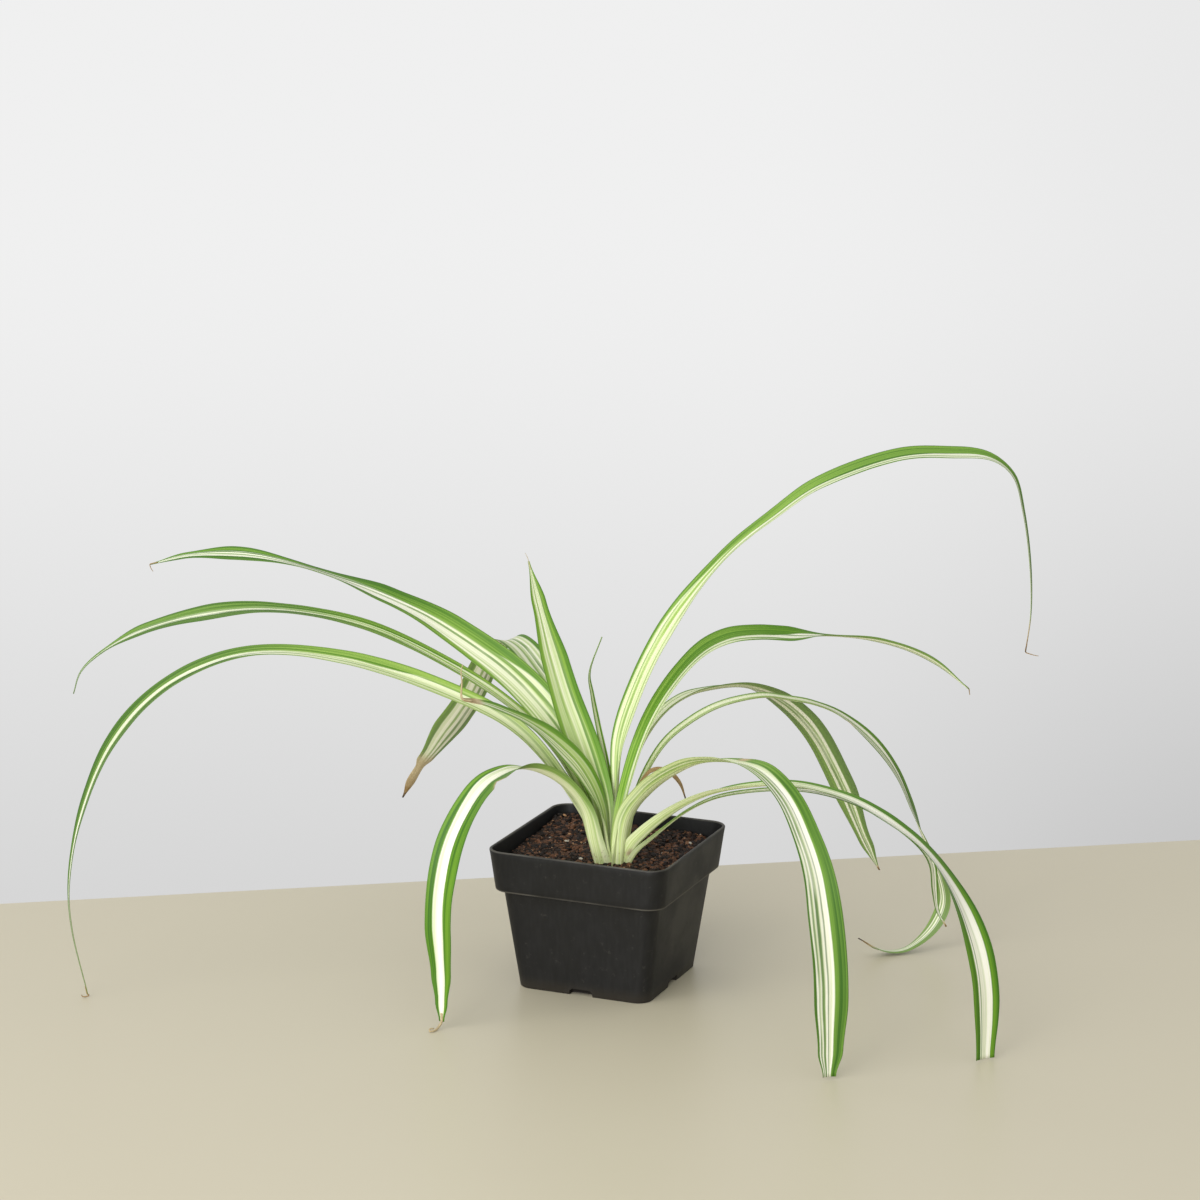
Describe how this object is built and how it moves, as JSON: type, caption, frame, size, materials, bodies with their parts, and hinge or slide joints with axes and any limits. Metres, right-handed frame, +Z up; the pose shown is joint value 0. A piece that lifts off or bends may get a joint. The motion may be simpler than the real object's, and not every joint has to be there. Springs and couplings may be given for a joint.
{
  "type": "potted spider plant",
  "caption": "Spider plant with arching striped leaves growing from one crown in a thin square nursery pot filled with potting soil.",
  "frame": {"origin": "middle of the pot's foot, on the surface that the pot stands on", "axes": "+Z up, X and Y along the pot's sides; most of the low leaves on the right lie towards +X"},
  "size_m": [0.5008, 0.2976, 0.2892],
  "materials": {
    "pot_plastic": "thin black moulded plastic with a soft sheen, paler and scuffed along the rim and the band's lower edge",
    "potting_soil": "dark brown peat and bark crumbs with tan chips and a few white perlite grains, rough",
    "pale_base": "cream to pale green leaf bases, smooth and slightly waxy, with small brown spots at the soil",
    "leaf": "green margins round a cream stripe with fine lengthwise lines, waxy, thin enough for light to show through",
    "dried_leaf": "dry, papery, tan to brown"
  },
  "bodies": {
    "root": {"pot": "pot_plastic", "soil": "potting_soil", "crown": "pale_base", "leaf_left_high": "leaf", "leaf_left_middle": "leaf", "leaf_left_long": "leaf", "leaf_front_left": "leaf", "leaf_back_folded": "leaf", "leaf_front_short": "leaf", "leaf_centre_broad": "leaf", "leaf_centre_young": "leaf", "leaf_right_tall": "leaf", "leaf_right_kinked": "leaf", "leaf_back_right": "leaf", "leaf_right_looped": "leaf", "leaf_right_low": "leaf", "leaf_right_thin": "leaf", "leaf_front_right": "leaf", "leaf_dried": "dried_leaf"}
  },
  "joints": []
}
